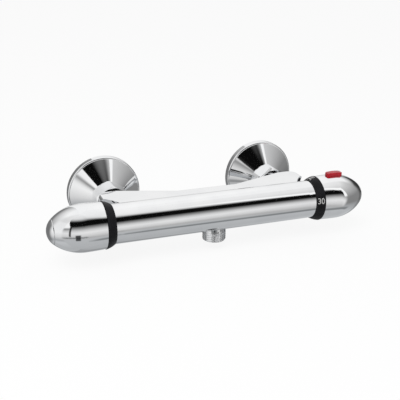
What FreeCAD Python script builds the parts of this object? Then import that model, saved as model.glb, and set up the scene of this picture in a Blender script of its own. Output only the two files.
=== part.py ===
import FreeCAD, Part
import math
import os
import re
import Sketcher

# A wall mounted thermostatic shower valve.  +X runs to the right as seen from the front,
# +Y into the wall and +Z up.  The origin lies on the wall face, midway between the two
# inlets.  All lengths are in millimetres.

SIZES = {
    # places of the main parts
    "inlet_spacing": 160,          # between the two inlet axes
    "bar_reach": 84,               # from the wall face to the axis of the bar
    "body_half": 93,               # from the middle of the body to its end face
    "fit_gap": 0.1,                # radial clearance of a running fit
    "part_gap": 0.3,               # open gap between a moving and a fixed piece
    # body
    "tube_radius": 17.2,
    "neck_radius": 17.15,
    "neck_length": 6,
    "fairing_half_height": 16,
    "fairing_round": 2.5,
    "waist_depth": 20.5,           # depth of the fairing behind the axis, at mid length
    "waist_half": 28,              # half the length of the shallow middle
    "lobe_inner": 1,               # the flank reaches the lobe this far inside the inlet
    "lobe_back": 46,               # from the wall face to the back of the lobes
    "lobe_overhang": 17,           # from an inlet axis to the outer end of its lobe
    "lobe_corner": 9,
    "relief_start": 8.5,           # conical relief that clears the end rings
    "relief_length": 9.5,
    "relief_rise": 7.6,
    "boss_radius": 13.2,
    "boss_height": 2.5,
    # waterways in the body
    "cartridge_bore": 12,
    "thermostat_depth": 62,
    "flow_depth": 46,
    "inner_wall": 1.5,
    "hot_way_depth": 15,
    "hot_way_height": 6.5,
    "hot_way_radius": 3,
    "hot_port_place": -47,
    "cold_port_radius": 3.5,
    "cold_pocket_depth": 20,
    "port_height": 5.5,            # mixed water port above, outlet port below the axis
    "port_radius": 3.2,
    "outlet_well_top": 1.5,
    "outlet_well_radius": 5,
    # inlets, from the wall to the body
    "supply_offset": 5,            # the wall supply lies this much above the inlet
    "supply_thread_radius": 10.4775,
    "supply_tail_length": 16,
    "supply_bore": 6.5,
    "supply_root": 5,
    "union_start": 13,
    "union_thread_radius": 13.2,
    "union_end": 33,
    "union_bore": 9.5,
    "washer_thickness": 1.6,
    "washer_bore": 8.6,
    "washer_radius": 12.8,
    "strainer_depth": 6.6,
    "strainer_radius": 8,
    "strainer_wall": 0.4,
    "strainer_rim": 0.8,
    "slot_width": 1.2,
    "nipple_collar_radius": 11.9,
    "nipple_collar_width": 2.4,
    "nipple_neck_radius": 10.2,
    "nipple_thread_radius": 10,
    "nipple_thread_length": 12,
    "nipple_bore": 7.5,
    "nut_flats": 30,
    "nut_start": 21.2,
    "nut_end": 39,
    "nut_lip": 2,
    "nut_bevel": 1.3,
    "nut_corner_cut": 0.7,         # taken off the sharp corners of the hexagon
    # wall flange
    "flange_radius": 34.4,
    "rim_height": 5.2,
    "rim_round": 1.6,
    "flange_height": 20.8,
    "flange_neck": 1.9,            # width of the flange's end around the union
    "flange_wall": 1.1,
    # non-return valve
    "check_gap": 3.4,              # from the collar face to the cage
    "cage_wall": 0.8,
    "seat_radius": 4.8,
    "seat_width": 2,
    "cage_length": 14.5,
    "cage_floor": 1.5,
    "poppet_radius": 5.8,
    "poppet_width": 1.5,
    "stem_radius": 1.2,
    "cage_hole": 1.7,
    "cage_hole_ring": 4.2,
    "check_wire": 0.45,
    "check_coil": 3.2,
    "check_pitch": 1.7,
    # outlet
    "outlet_end": 26.6,            # below the axis of the bar
    "outlet_thread_radius": 10.4775,
    "outlet_bevel": 0.9,
    "outlet_shoulder": 18.2,
    "outlet_neck": 9.4,
    "outlet_top": 9,
    "outlet_bore": 7.2,
    "outlet_seal_place": 11.5,
    # end rings and cartridge nuts
    "ring_width": 8,
    "ring_web": 4,
    "ring_lip": 0.1,
    "ring_radius": 20.6,
    "ring_curve": 18,
    "ring_recess": 15.2,
    "ring_bore": 13,
    "lock_thread_length": 5,
    "lock_flange": 14.6,
    "lock_flange_width": 3,
    # cartridges; places along the bar count outwards from the end face of the body
    "sleeve_radius": 11.7,
    "sleeve_neck": 8.5,
    "sleeve_neck_end": 11.5,
    "spindle_radius": 6.2,
    "spline_radius": 5,
    "spline_start": 12,
    "spline_end": 24,
    "screw_radius": 2,
    "groove_depth": 1.5,
    "groove_width": 2,
    "lock_seal_place": -7,
    "spindle_seal_place": -3,
    "spindle_groove_depth": 1,
    "spindle_groove_width": 1.6,
    # thermostat
    "chamber_radius": 9.5,
    "end_ring_width": 3,
    "chamber_end": -9,
    "mix_hole": 6,
    "recess_radius": 10.9,
    "hot_recess_start": -51,
    "hot_recess_end": -42,
    "cold_recess_start": -38,
    "cold_recess_end": -9,
    "inner_seal_place": -53,
    "middle_seal_place": -40,
    "window_width": 7,
    "window_length": 3.2,
    "window_opening": 1.2,         # part of each window that the shuttle leaves open
    "key_width": 3,
    "key_start": -21,
    "key_slot_start": -23,
    "key_slot_end": -15,
    "key_slot_radius": 10.2,
    "shuttle_start": -45,
    "shuttle_end": -35,
    "shuttle_wall": 1.2,
    "shuttle_web_start": -41,
    "shuttle_web": 2,
    "shuttle_hole": 1.5,
    "shuttle_hole_ring": 6,
    "wax_radius": 3.8,
    "wax_inset": 6,                # from the inner end of the housing
    "wax_collar": 5,
    "wax_guide": 2.8,
    "wax_guide_end": -34,
    "piston_radius": 1.2,
    "cup_start": -33,
    "cup_radius": 8,
    "cup_wall": 1.2,
    "cup_floor_start": -19.5,
    "cup_end": -17,
    "clip_width": 1,
    "clip_bore": 5.2,
    "cap_flange": 1.5,
    "cap_pin_radius": 3.2,
    "cap_pin_end": -27,
    "drive_thread_radius": 3.9,
    "drive_thread_end": 1,
    "drive_bore_end": 5,
    "spindle_collar": 8.9,
    "spindle_collar_start": -12.5,
    "spindle_collar_end": -9.3,
    "spring_wire": 0.7,
    "return_coil": 8.6,
    "return_pitch": 2.8,
    "overtravel_coil": 5,
    "overtravel_pitch": 2.4,
    # ceramic flow cartridge
    "disc_chamber": 9.8,
    "port_seal_width": 2,
    "fixed_disc_width": 4,
    "moving_disc_width": 4,
    "moving_disc_radius": 9.4,
    "disc_slot_half": 2,
    "disc_slot_depth": 2,
    "driver_radius": 9.3,
    "driver_width": 4,
    "tongue_width": 3,
    "tongue_depth": 1.2,
    "tongue_length": 12,
    # stops
    "stop_width": 4,
    "stop_ring_radius": 12,
    "stop_radius": 14.6,
    "stop_lug_root": 13,
    "insert_lug_angle": 20,
    "stop_margin": 1,              # degrees left free at each end of the travel
    "cold_turn": 180,              # from the rest place to the cold stop
    "hot_turn": 120,               # from the rest place to the hot stop
    "flow_turn": 90,               # from closed to fully open
    # handles
    "handle_mouth_radius": 20.2,
    "handle_radius": 20.7,
    "barrel_length": 16.7,
    "barrel_curve": 280,
    "dome_curve": 38.7,
    "handle_seam": 42.3,
    "end_cap_radius": 11,
    "end_cap_dome": 5,
    "end_cap_curve": 14.5,
    "end_cap_skirt": 4.2,
    "end_cap_wall": 1.5,
    "end_cap_ledge": 0.5,          # width and depth of the seam round the end cap
    "end_cap_step": 0.4,
    "shell_lip": 2.3,
    "shell_wall": 1.8,
    "insert_radius": 18.2,
    "insert_wall": 1.8,
    "insert_end": 30,
    "web_start": 14,
    "web_width": 2.3,
    "hub_radius": 8.5,
    "hub_end": 28,
    "screw_head": 3.8,
    "screw_head_width": 3,
    "screw_tip": 13,
    "screw_socket": 1.6,
    # safety button
    "button_place": 25.8,
    "button_length": 15.4,
    "button_width": 7,
    "button_corner": 2.2,
    "button_top": 23.8,
    "button_crown": 50,            # radius of the arched top
    "button_edge": 0.8,
    "button_lip_top": 15.2,
    "button_lip": 1.1,
    "button_lip_width": 1.6,
    "button_stem": 2,
    "button_stem_length": 2,
    "button_wire": 0.3,
    "button_coil": 3,
    "button_pitch": 1.5,
}

doc = FreeCAD.newDocument("thermostatic_shower_valve")
sheet = doc.addObject("Spreadsheet::Sheet", "Sizes")
for row, (size_name, size_value) in enumerate(SIZES.items(), start=1):
    sheet.set(f"A{row}", size_name)
    sheet.set(f"B{row}", str(size_value))
    sheet.setAlias(f"B{row}", size_name)
doc.recompute()

NODES = []
LEFT = "left"
RIGHT = "right"
SIGN = {LEFT: -1, RIGHT: 1}


# ---------------------------------------------------------------- helpers

def bound(formula):
    """A formula in size names, as an expression that reads them from the sheet."""
    def look_up(word):
        return "Sizes." + word[0] if word[0] in SIZES else word[0]
    return re.sub(r"[a-z_]+", look_up, str(formula))


def value(formula):
    return float(sheet.evalExpression(bound(formula)))


def bind(thing, prop, formula):
    thing.setExpression(prop, bound(formula))


def put(thing, along=0, depth=0, height=0, turn=None):
    """Place a thing by three formulas, after an optional turn (axis, degrees)."""
    if turn:
        thing.Placement = FreeCAD.Placement(FreeCAD.Vector(), FreeCAD.Rotation(*turn))
    for coordinate, formula in zip("xyz", (along, depth, height)):
        bind(thing, f"Placement.Base.{coordinate}", formula)
    return thing


HALF_TURN = (FreeCAD.Vector(0, 0, 1), 180)
TO_X = (FreeCAD.Vector(0, 1, 0), 90)
TO_Y = (FreeCAD.Vector(1, 0, 0), -90)


def on_bar(thing, side=RIGHT):
    """Move a thing drawn about the X axis on to the bar; the left one is turned round."""
    return put(thing, depth="-bar_reach", turn=HALF_TURN if side == LEFT else None)


def on_end(thing, side=RIGHT):
    """As on_bar, for a thing whose drawing starts at the end face of the body."""
    put(thing, along=f"{SIGN[side]} * body_half", depth="-bar_reach",
        turn=HALF_TURN if side == LEFT else None)
    return thing


def on_inlet(thing, side, turn=None):
    """Move a thing drawn about the Y axis on to an inlet."""
    return put(thing, along=f"{SIGN[side]} * inlet_spacing / 2", turn=turn)


def node(thing, label):
    thing.Label = label
    NODES.append(thing)
    return thing


def origin_plane(body, role):
    return next(item for item in body.Origin.OriginFeatures if item.Role == role)


def sketch_on(body, role, lift=None):
    sketch = body.newObject("Sketcher::SketchObject", "Outline")
    sketch.AttachmentSupport = (origin_plane(body, role), "")
    sketch.MapMode = "FlatFace"
    if lift is not None:
        bind(sketch, "AttachmentOffset.Base.z", lift)
    return sketch


def hold(sketch, item, end, across, up):
    """Fix one end of a drawn item at two formulas, measured from the sketch's origin."""
    for kind, formula in (("DistanceX", across), ("DistanceY", up)):
        place = value(formula)
        index = sketch.addConstraint(Sketcher.Constraint(kind, -1, 1, item, end, place))
        bind(sketch, f"Constraints[{index}]", formula)


def draw(sketch, corners):
    """Draw a closed outline.  A corner is (across, up) or (across, up, radius, side):
    the edge that follows it is then an arc, its centre to the left (1) or right (-1)."""
    spots = [FreeCAD.Vector(value(corner[0]), value(corner[1]), 0) for corner in corners]
    ends = []
    for index, corner in enumerate(corners):
        start = spots[index]
        finish = spots[(index + 1) % len(spots)]
        if len(corner) == 2:
            item = sketch.addGeometry(Part.LineSegment(start, finish))
            ends.append((item, 1, 2))
            continue
        radius = value(corner[2])
        chord = finish - start
        reach = math.sqrt(radius ** 2 - (chord.Length / 2) ** 2) / chord.Length
        left = FreeCAD.Vector(-chord.y, chord.x, 0) * reach * corner[3]
        centre = (start + finish) * 0.5 + left
        angles = [math.atan2(spot.y - centre.y, spot.x - centre.x) for spot in (start, finish)]
        if corner[3] < 0:
            angles.reverse()
        circle = Part.Circle(centre, FreeCAD.Vector(0, 0, 1), radius)
        item = sketch.addGeometry(Part.ArcOfCircle(circle, *angles))
        ends.append((item, 1, 2) if corner[3] > 0 else (item, 2, 1))
    for index, corner in enumerate(corners):
        item, first, last = ends[index]
        after, after_first, _ = ends[(index + 1) % len(corners)]
        sketch.addConstraint(Sketcher.Constraint("Coincident", item, last, after, after_first))
        hold(sketch, item, first, corner[0], corner[1])
        if len(corner) > 2:
            radius_rule = Sketcher.Constraint("Radius", item, value(corner[2]))
            radius_index = sketch.addConstraint(radius_rule)
            bind(sketch, f"Constraints[{radius_index}]", corner[2])
    return sketch


def draw_circles(sketch, circles):
    """Draw circles given as (across, up, radius)."""
    for across, up, radius in circles:
        centre = FreeCAD.Vector(value(across), value(up), 0)
        circle = Part.Circle(centre, FreeCAD.Vector(0, 0, 1), value(radius))
        item = sketch.addGeometry(circle)
        hold(sketch, item, 3, across, up)
        index = sketch.addConstraint(Sketcher.Constraint("Radius", item, value(radius)))
        bind(sketch, f"Constraints[{index}]", radius)
    return sketch


def rectangle(left, low, right, high):
    return [(left, low), (right, low), (right, high), (left, high)]


PLANES = {"X": ("XY_Plane", "H_Axis"), "Y": ("XY_Plane", "V_Axis"), "Z": ("XZ_Plane", "V_Axis")}


def turned_body(name, axis, profile, angle=360):
    """A body turned about an axis from a profile of (along, radius) corners."""
    body = doc.addObject("PartDesign::Body", name)
    role, line = PLANES[axis]
    if axis != "X":
        profile = [(corner[1], corner[0]) + tuple(corner[2:]) for corner in profile]
    sketch = draw(sketch_on(body, role), profile)
    revolution = body.newObject("PartDesign::Revolution", "Turned")
    revolution.Profile = sketch
    revolution.ReferenceAxis = (sketch, [line])
    bind(revolution, "Angle", angle)
    doc.recompute()
    return body


def pocket(body, role, drawing, length, lift=None, back=False):
    """Cut a drawing out of a body, to a length from the plane that holds it."""
    before = body.Shape.Volume
    sketch = drawing(sketch_on(body, role, lift))
    cut = body.newObject("PartDesign::Pocket", "Cut")
    cut.Profile = sketch
    bind(cut, "Length", length)
    cut.Reversed = back
    doc.recompute()
    if body.Shape.Volume >= before:
        raise ValueError(f"a pocket in {body.Label} removed nothing")
    return cut


def repeat_round(body, feature, line, count):
    """Repeat a feature evenly round one of the body's own axes."""
    pattern = body.newObject("PartDesign::PolarPattern", "Round")
    pattern.Originals = [feature]
    pattern.Axis = (origin_plane(body, line), [""])
    pattern.Angle = 360
    pattern.Occurrences = count
    body.Tip = pattern
    doc.recompute()
    return pattern


def padded(name, role, drawing, length, lift=None, middle=False):
    body = doc.addObject("PartDesign::Body", name)
    sketch = drawing(sketch_on(body, role, lift))
    pad = body.newObject("PartDesign::Pad", "Raised")
    pad.Profile = sketch
    bind(pad, "Length", length)
    pad.Midplane = middle
    doc.recompute()
    return body


def coil(name, axis, radius, wire, pitch, start, end):
    """A wire spring about an axis; start and end are the faces that it bears on."""
    body = doc.addObject("PartDesign::Body", name)
    role, line = PLANES[axis]
    first = f"({start}) + {wire}"
    place = (first, radius) if axis == "X" else (radius, first)
    sketch = draw_circles(sketch_on(body, role), [(place[0], place[1], wire)])
    helix = body.newObject("PartDesign::AdditiveHelix", "Coil")
    helix.Profile = sketch
    helix.ReferenceAxis = (sketch, [line])
    helix.Mode = "pitch-height-angle"
    bind(helix, "Pitch", pitch)
    bind(helix, "Height", f"({end}) - ({start}) - 2 * {wire}")
    doc.recompute()
    return body


def rod(name, axis, radius, start, end, along=0, depth=0, height=0):
    """A cylinder along an axis, from start to end on that axis."""
    cylinder = doc.addObject("Part::Cylinder", name)
    bind(cylinder, "Radius", radius)
    bind(cylinder, "Height", f"({end}) - ({start})")
    if axis == "X":
        return put(cylinder, start, depth, height, TO_X)
    if axis == "Y":
        return put(cylinder, along, start, height, TO_Y)
    return put(cylinder, along, depth, start)


def joined(name, pieces):
    fusion = doc.addObject("Part::MultiFuse", name)
    fusion.Shapes = pieces
    doc.recompute()
    return fusion


def cut_from(name, base, tool):
    difference = doc.addObject("Part::Cut", name)
    difference.Base = base
    difference.Tool = tool
    doc.recompute()
    return difference


def fillet(body, base, radius, wanted):
    """Round the edges of a feature that the test accepts."""
    names = [f"Edge{n}" for n, edge in enumerate(base.Shape.Edges, start=1) if wanted(edge)]
    rounding = body.newObject("PartDesign::Fillet", "Round")
    rounding.Base = (base, names)
    bind(rounding, "Radius", radius)
    doc.recompute()
    return rounding


def ring_seal(name, axis, place, centre_radius, section):
    """An O-ring round an axis."""
    torus = doc.addObject("Part::Torus", name)
    bind(torus, "Radius1", centre_radius)
    bind(torus, "Radius2", section)
    if axis == "X":
        return put(torus, along=place, turn=TO_X)
    return put(torus, height=place)


# ---------------------------------------------------------------- body

LOBE_DEPTH = "(bar_reach - lobe_back)"
LOBE_HALF = "(inlet_spacing / 2 + lobe_overhang)"


def fairing_outline():
    """Plan of the fairing: a shallow middle, sloping flanks and a lobe at each end."""
    def half(side):
        return [
            (f"{side} * waist_half", "waist_depth"),
            (f"{side} * (inlet_spacing / 2 - lobe_inner)", LOBE_DEPTH),
            (f"{side} * ({LOBE_HALF} - lobe_corner)", LOBE_DEPTH, "lobe_corner", -1),
            (f"{side} * {LOBE_HALF}", f"{LOBE_DEPTH} - lobe_corner"),
            (f"{side} * {LOBE_HALF}", "0"),
        ]
    left = half(-1)
    mirrored = [left[4], (left[3][0], left[3][1], "lobe_corner", -1), left[2][:2], left[1], left[0]]
    return mirrored + half(1)


def build_body():
    fairing = padded(
        "fairing", "XY_Plane", lambda sketch: draw(sketch, fairing_outline()),
        "2 * fairing_half_height", middle=True)
    deep = value("neck_radius")
    top = value("fairing_half_height")

    def outer_edge(edge):
        box = edge.BoundBox
        level = box.ZLength < 1e-6 and abs(abs(box.ZMin) - top) < 1e-6
        return level and box.YMax > deep
    fillet(fairing, fairing.Tip, "fairing_round", outer_edge)

    neck_start = "(body_half - neck_length)"
    tube = turned_body("tube", "X", [
        ("-body_half", 0), ("body_half", 0), ("body_half", "neck_radius"),
        (neck_start, "tube_radius"), (f"-{neck_start}", "tube_radius"),
        ("-body_half", "neck_radius")])

    bosses = []
    reliefs = []
    bores = []
    for side in (LEFT, RIGHT):
        sign = SIGN[side]
        axis_place = f"{sign} * inlet_spacing / 2"
        bosses.append(rod(
            f"{side}_boss", "Y", "boss_radius", "tube_radius", f"{LOBE_DEPTH} + boss_height",
            along=axis_place))
        bores.append(rod(
            f"{side}_inlet_thread", "Y", "nipple_thread_radius",
            f"{LOBE_DEPTH} + boss_height - nipple_thread_length",
            f"{LOBE_DEPTH} + boss_height + 1",
            along=axis_place))
        relief_start = "(body_half - relief_start)"
        relief_end = f"({relief_start} + relief_length)"
        profile = [
            (neck_start, "tube_radius"), (relief_start, "tube_radius"),
            (relief_end, "tube_radius + relief_rise"),
            (f"{relief_end} + {LOBE_HALF}", "tube_radius + relief_rise"),
            (f"{relief_end} + {LOBE_HALF}", 0),
            ("body_half", 0), ("body_half", "neck_radius")]
        profile = [(f"{sign} * ({along})", radius) for along, radius in profile]
        reliefs.append(turned_body(f"{side}_relief", "X", profile))

    whole = joined("casting_blank", [fairing, tube] + bosses)
    whole = cut_from("casting", whole, joined("end_reliefs", reliefs))

    hot = "-inlet_spacing / 2"
    cold = "inlet_spacing / 2"
    boss_face = f"{LOBE_DEPTH} + boss_height"
    hot_port_at = "(body_half + hot_port_place)"
    bores += [
        rod("thermostat_bore", "X", "cartridge_bore", "body_half - thermostat_depth",
            "body_half + 1"),
        rod("flow_bore", "X", "cartridge_bore", "-body_half - 1", "-body_half + flow_depth"),
        rod("hot_inlet", "Y", "nipple_bore", "cartridge_bore + inner_wall", boss_face,
            along=hot),
        rod("hot_way", "X", "hot_way_radius", hot, hot_port_at,
            depth="hot_way_depth", height="hot_way_height"),
        rod("cold_pocket", "Y", "nipple_bore", "cold_pocket_depth", boss_face, along=cold),
        rod("cold_port", "Y", "cold_port_radius", 0, "cold_pocket_depth", along=cold),
        rod("mixed_way", "X", "port_radius", "-body_half + flow_depth - 1",
            "body_half - thermostat_depth + 1", height="port_height"),
        rod("outlet_way", "X", "port_radius", "-body_half + flow_depth - 1", 0,
            height="-port_height"),
        rod("outlet_well", "Z", "outlet_well_radius", "-outlet_top - 1", "-outlet_well_top"),
        rod("outlet_thread", "Z", "outlet_neck", "-tube_radius - 1", "-outlet_top"),
    ]
    hot_port = rod("hot_port", "Y", "hot_way_radius", 0, "hot_way_depth", along=hot_port_at)
    bind(hot_port, "Placement.Rotation.Angle", "atan2(hot_way_height; hot_way_depth) - 90 deg")
    bores.append(hot_port)
    valve_body = cut_from("valve_body", whole, joined("waterways", bores))
    node(on_bar(valve_body), "valve_body")


def build_outlet():
    nipple = turned_body("outlet_nipple", "Z", [
        ("-outlet_end", "outlet_bore"), ("-outlet_end", "outlet_thread_radius - outlet_bevel"),
        ("-outlet_end + outlet_bevel", "outlet_thread_radius"),
        ("-outlet_shoulder", "outlet_thread_radius"), ("-outlet_shoulder", "outlet_neck"),
        ("-outlet_seal_place - spindle_groove_width / 2", "outlet_neck"),
        ("-outlet_seal_place - spindle_groove_width / 2", "outlet_neck - spindle_groove_depth"),
        ("-outlet_seal_place + spindle_groove_width / 2", "outlet_neck - spindle_groove_depth"),
        ("-outlet_seal_place + spindle_groove_width / 2", "outlet_neck"),
        ("-outlet_top", "outlet_neck"), ("-outlet_top", "outlet_bore")])
    node(on_bar(nipple), "outlet_nipple")
    section = "spindle_groove_depth / 2"
    seal = ring_seal("outlet_seal", "Z", "-outlet_seal_place", f"outlet_neck - {section}", section)
    put(seal, depth="-bar_reach", height="-outlet_seal_place")
    node(seal, "outlet_oring")


# ---------------------------------------------------------------- inlets

def circle_at(name, radius, depth, height):
    circle = doc.addObject("Part::Circle", name)
    bind(circle, "Radius", radius)
    return put(circle, depth=depth, height=height, turn=TO_Y)


def build_supply(side):
    """Eccentric connector: wall thread, sloping middle and union thread."""
    tail = rod("wall_tail", "Y", "supply_thread_radius", "-supply_root", "supply_tail_length",
               height="supply_offset")
    union = rod("union_thread", "Y", "union_thread_radius", "-union_end", "-union_start")
    slope = doc.addObject("Part::Loft", "eccentric")
    slope.Sections = [
        circle_at("wall_circle", "supply_thread_radius", "-supply_root", "supply_offset"),
        circle_at("union_circle", "union_thread_radius", "-union_start", 0)]
    slope.Solid = True
    slope.Ruled = True
    doc.recompute()
    bores = joined("connector_bores", [
        rod("wall_bore", "Y", "supply_bore", "-union_start - 1.5", "supply_tail_length + 1",
            height="supply_offset"),
        rod("union_bore_rod", "Y", "union_bore", "-union_end - 1", "-union_start - 1")])
    outside = joined("connector_outside", [tail, slope, union])
    connector = cut_from("wall_connector", outside, bores)
    node(on_inlet(connector, side), f"wall_connector_{side}")


def build_flange(side):
    rim = "(rim_height + rim_round)"
    neck = "(union_thread_radius + flange_neck)"
    flange = turned_body("wall_flange", "Y", [
        (0, "flange_radius - flange_wall"), (0, "flange_radius"),
        ("-rim_height", "flange_radius", "rim_round", -1),
        (f"-{rim}", "flange_radius - rim_round"),
        ("-flange_height + 0.6", neck), ("-flange_height", f"{neck} - 0.6"),
        ("-flange_height", "union_thread_radius + fit_gap"),
        ("-flange_height + 2", "union_thread_radius + fit_gap"),
        ("-flange_height + 2", f"{neck} - 1"),
        (f"-{rim} + flange_wall", "flange_radius - rim_round - flange_wall")])
    node(on_inlet(flange, side), f"wall_flange_{side}")


def build_union_nut(side):
    corner = "nut_flats / sqrt(3)"
    flat = "nut_flats / 2"
    blank = turned_body("nut_blank", "Y", [
        ("-nut_start", "union_thread_radius + fit_gap"), ("-nut_start", f"{flat} + 0.3"),
        ("-nut_start - nut_bevel", f"{corner} - nut_corner_cut"),
        ("-nut_end + nut_bevel", f"{corner} - nut_corner_cut"), ("-nut_end", f"{flat} + 0.3"),
        ("-nut_end", "nipple_neck_radius + fit_gap"),
        ("-nut_end + nut_lip", "nipple_neck_radius + fit_gap"),
        ("-nut_end + nut_lip", "union_thread_radius + fit_gap")])
    prism = doc.addObject("Part::Prism", "nut_hexagon")
    prism.Polygon = 6
    bind(prism, "Circumradius", corner)
    bind(prism, "Height", "nut_end - nut_start")
    put(prism, depth="-nut_end", turn=TO_Y)
    prism.Placement.Rotation = FreeCAD.Rotation(*TO_Y) * FreeCAD.Rotation(
        FreeCAD.Vector(0, 0, 1), 30)
    nut = doc.addObject("Part::Common", "union_nut")
    nut.Base = blank
    nut.Tool = prism
    doc.recompute()
    node(on_inlet(nut, side), f"union_nut_{side}")


COLLAR_FACE = "(union_end + washer_thickness)"
COLLAR_BACK = "(union_end + washer_thickness + nipple_collar_width)"
BOSS_FACE = "(lobe_back - boss_height)"


def build_nipple(side):
    nipple = turned_body("inlet_nipple", "Y", [
        (f"-{COLLAR_FACE}", "nipple_bore"), (f"-{COLLAR_FACE}", "nipple_collar_radius"),
        (f"-{COLLAR_BACK}", "nipple_collar_radius"), (f"-{COLLAR_BACK}", "nipple_neck_radius"),
        (f"-{BOSS_FACE}", "nipple_neck_radius"), (f"-{BOSS_FACE}", "nipple_thread_radius"),
        (f"-{BOSS_FACE} - nipple_thread_length", "nipple_thread_radius"),
        (f"-{BOSS_FACE} - nipple_thread_length", "nipple_bore")])
    node(on_inlet(nipple, side), f"inlet_nipple_{side}")
    washer = turned_body("union_washer", "Y", [
        ("-union_end", "washer_bore"), ("-union_end", "washer_radius"),
        (f"-{COLLAR_FACE}", "washer_radius"), (f"-{COLLAR_FACE}", "washer_bore")])
    node(on_inlet(washer, side), f"union_washer_{side}")


def build_strainer(side):
    top = "(union_end - strainer_depth)"
    inner = "strainer_radius - strainer_wall"
    body = turned_body("inlet_strainer", "Y", [
        (f"-{top}", 0), (f"-{top}", "strainer_radius"),
        ("-union_end + strainer_rim", "strainer_radius"),
        ("-union_end + strainer_rim", "union_bore - fit_gap"),
        ("-union_end", "union_bore - fit_gap"), ("-union_end", inner),
        (f"-{top} - strainer_wall", inner), (f"-{top} - strainer_wall", 0)])
    slot = rectangle("-slot_width / 2", "-union_end + 2 * strainer_rim",
                     "slot_width / 2", f"-{top} - 2 * strainer_rim")
    cut = pocket(body, "XY_Plane", lambda sketch: draw(sketch, slot),
                 "strainer_radius + 1", back=True)
    repeat_round(body, cut, "Y_Axis", 12)
    node(on_inlet(body, side), f"inlet_strainer_{side}")


CAGE_FACE = f"({COLLAR_FACE} + check_gap)"
SEAT_FACE = f"({CAGE_FACE} + seat_width)"
CAGE_END = f"({CAGE_FACE} + cage_length)"


def build_check_valve(side):
    inner = "nipple_bore - fit_gap - cage_wall"
    cage = turned_body("check_cage", "Y", [
        (f"-{CAGE_FACE}", "seat_radius"), (f"-{CAGE_FACE}", "nipple_bore - fit_gap"),
        (f"-{CAGE_END}", "nipple_bore - fit_gap"), (f"-{CAGE_END}", "stem_radius + part_gap"),
        (f"-{CAGE_END} + cage_floor", "stem_radius + part_gap"),
        (f"-{CAGE_END} + cage_floor", inner), (f"-{SEAT_FACE}", inner),
        (f"-{SEAT_FACE}", "seat_radius")])
    hole = [("0", "cage_hole_ring", "cage_hole")]
    cut = pocket(cage, "XZ_Plane", lambda sketch: draw_circles(sketch, hole),
                 "cage_floor + 1", lift=f"{CAGE_END} - cage_floor - 0.5", back=True)
    repeat_round(cage, cut, "Y_Axis", 5)
    node(on_inlet(cage, side), f"check_valve_cage_{side}")
    face = f"({SEAT_FACE} + fit_gap)"
    poppet = turned_body("check_poppet", "Y", [
        (f"-{face}", 0), (f"-{face}", "poppet_radius"),
        (f"-{face} - poppet_width", "poppet_radius"),
        (f"-{face} - poppet_width", "stem_radius"), (f"-{CAGE_END} - 0.5", "stem_radius"),
        (f"-{CAGE_END} - 0.5", 0)])
    node(on_inlet(poppet, side), f"check_valve_poppet_{side}")
    spring = coil("check_spring", "Y", "check_coil", "check_wire", "check_pitch",
                  f"-{CAGE_END} + cage_floor", f"-{face} - poppet_width")
    node(on_inlet(spring, side), f"check_valve_spring_{side}")


# ---------------------------------------------------------------- ends of the body

LOCK_START = "(-lock_thread_length)"
LOCK_END = "(ring_web + lock_flange_width)"
STOP_END = f"({LOCK_END} + stop_width)"


def build_end_ring(side, label):
    ring = turned_body("end_ring", "X", [
        (0, "ring_bore"), ("ring_web", "ring_bore"), ("ring_web", "ring_recess"),
        ("ring_width", "ring_recess"), ("ring_width", "ring_radius", "ring_curve", 1),
        (0, "neck_radius + ring_lip")])
    node(on_end(ring, side), label)


def build_lock_nut(side, label):
    nut = turned_body("lock_nut", "X", [
        (LOCK_START, "sleeve_neck + part_gap"), (LOCK_END, "sleeve_neck + part_gap"),
        (LOCK_END, "lock_flange"), ("ring_web", "lock_flange"), ("ring_web", "ring_bore"),
        (0, "ring_bore"), (0, "cartridge_bore"),
        (LOCK_START, "cartridge_bore")])
    node(on_end(nut, side), label)


def build_stop_ring(side, label, first, sweep):
    """A ring with a lug; first is where the lug starts, in degrees from the top."""
    ring = turned_body("stop_base", "X", [
        (LOCK_END, "sleeve_neck"), (STOP_END, "sleeve_neck"), (STOP_END, "stop_ring_radius"),
        (LOCK_END, "stop_ring_radius")])
    lug = lug_sector("stop_lug", LOCK_END, STOP_END, "stop_ring_radius - 1", "stop_radius",
                     first, sweep)
    whole = joined("stop_ring", [ring, lug])
    node(on_end(whole, side), label)


def lug_sector(name, start, end, inner, outer, first, sweep):
    """A sector of a ring about the X axis, from first over sweep degrees, measured from
    the top and towards the front."""
    lug = turned_body(name, "X", [(start, inner), (end, inner), (end, outer), (start, outer)],
                      angle=sweep)
    lug.Placement.Rotation = FreeCAD.Rotation(FreeCAD.Vector(1, 0, 0), 0)
    lug.setExpression("Placement.Rotation.Angle", bound(f"90 + ({first})"))
    lug.setExpression("Placement.Rotation.Axis.x", "1")
    doc.recompute()
    return lug


def groove_corners(place, radius, depth, width):
    """The four corners of a seal groove in a turned outline."""
    low = f"({place} - {width} / 2)"
    high = f"({place} + {width} / 2)"
    return [(low, radius), (low, f"{radius} - {depth}"), (high, f"{radius} - {depth}"),
            (high, radius)]


def spindle_end():
    """The outer end that both spindles share: bearing, seal groove, spline, screw hole."""
    groove = groove_corners("spindle_seal_place", "spindle_radius", "spindle_groove_depth",
                            "spindle_groove_width")
    return groove + [
        ("spline_start", "spindle_radius"), ("spline_start", "spline_radius"),
        ("spline_end", "spline_radius"), ("spline_end", "screw_radius"),
        ("screw_tip - 0.5", "screw_radius"), ("screw_tip - 0.5", 0)]


def build_spindle_seal(side, label):
    section = "spindle_groove_depth / 2"
    seal = ring_seal("spindle_seal", "X", "spindle_seal_place",
                     f"spindle_radius - {section}", section)
    sign = SIGN[side]
    put(seal, along=f"{sign} * (body_half + spindle_seal_place)", depth="-bar_reach", turn=TO_X)
    node(seal, label)


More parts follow.
